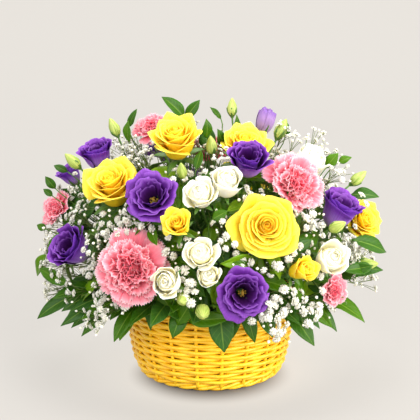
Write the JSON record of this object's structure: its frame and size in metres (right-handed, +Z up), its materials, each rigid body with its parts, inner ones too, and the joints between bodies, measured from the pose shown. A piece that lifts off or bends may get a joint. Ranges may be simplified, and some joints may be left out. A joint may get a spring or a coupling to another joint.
{
  "type": "flower basket arrangement",
  "caption": "Round yellow wicker basket filled with cut roses, carnations, lisianthus, spray roses and gypsophila among pointed green leaves, standing in floral foam.",
  "frame": {"origin": "middle of the flat underside of the basket, on the surface it stands on", "axes": "+Z up, -Y towards the front of the arrangement, +X to the right seen from the front"},
  "size_m": [0.3906, 0.3299, 0.3078],
  "materials": {
    "wicker": "golden yellow painted willow, satin",
    "plastic_liner": "thin dark green plastic, satin",
    "floral_foam": "wet dark green floral foam, matt",
    "yellow_petal": "velvety bright yellow petal",
    "pink_petal": "matt salmon pink petal, paler at its edge",
    "purple_petal": "silky deep violet petal",
    "lilac_petal": "pale lilac petal, closed",
    "white_petal": "cream white petal, greenish at its heart",
    "leaf": "glossy dark green leaf with paler veins",
    "stem": "smooth mid green stem",
    "bud": "satin yellow-green bud and stalk",
    "gypsophila_petal": "matt white floret"
  },
  "bodies": {
    "root": {"basket": "wicker", "carnation_1_petals": "pink_petal", "carnation_1_stem": "stem", "carnation_2_petals": "pink_petal", "carnation_2_stem": "stem", "carnation_3_petals": "pink_petal", "carnation_3_stem": "stem", "carnation_4": "pink_petal", "carnation_5": "pink_petal", "carnation_6": "pink_petal", "foam": "floral_foam", "gypsophila_back": "gypsophila_petal", "gypsophila_front": "gypsophila_petal", "gypsophila_left": "gypsophila_petal", "gypsophila_right": "gypsophila_petal", "leafy_branch_back": "leaf", "leafy_branch_crown": "leaf", "leafy_branch_front": "leaf", "leafy_branch_front_left": "leaf", "leafy_branch_front_right": "leaf", "leafy_branch_left": "leaf", "leafy_branch_right": "leaf", "liner": "plastic_liner", "lisianthus_bloom_1": "purple_petal", "lisianthus_bloom_2": "purple_petal", "lisianthus_bloom_3": "purple_petal", "lisianthus_bloom_4": "purple_petal", "lisianthus_bloom_5": "purple_petal", "lisianthus_bloom_6": "purple_petal", "lisianthus_bloom_7": "purple_petal", "lisianthus_bloom_8": "purple_petal", "lisianthus_bloom_9": "purple_petal", "lisianthus_lilac_buds": "lilac_petal", "lisianthus_spray_1_stem": "bud", "lisianthus_spray_2_stem": "bud", "lisianthus_spray_3_stem": "bud", "lisianthus_spray_4_stem": "bud", "lisianthus_spray_5_stem": "bud", "lisianthus_spray_6_stem": "bud", "lisianthus_spray_7_stem": "bud", "white_spray_rose_1": "white_petal", "white_spray_rose_2": "white_petal", "white_spray_rose_3": "white_petal", "white_spray_rose_4": "white_petal", "yellow_rose_1_petals": "yellow_petal", "yellow_rose_1_stem": "stem", "yellow_rose_2_petals": "yellow_petal", "yellow_rose_2_stem": "stem", "yellow_rose_3_petals": "yellow_petal", "yellow_rose_3_stem": "stem", "yellow_rose_4_petals": "yellow_petal", "yellow_rose_4_stem": "stem", "yellow_rose_5_petals": "yellow_petal", "yellow_rose_5_stem": "stem", "yellow_rose_6_petals": "yellow_petal", "yellow_rose_6_stem": "stem", "yellow_rose_7_petals": "yellow_petal", "yellow_rose_7_stem": "stem", "yellow_spray_rose_1": "yellow_petal", "yellow_spray_rose_2": "yellow_petal"}
  },
  "joints": []
}
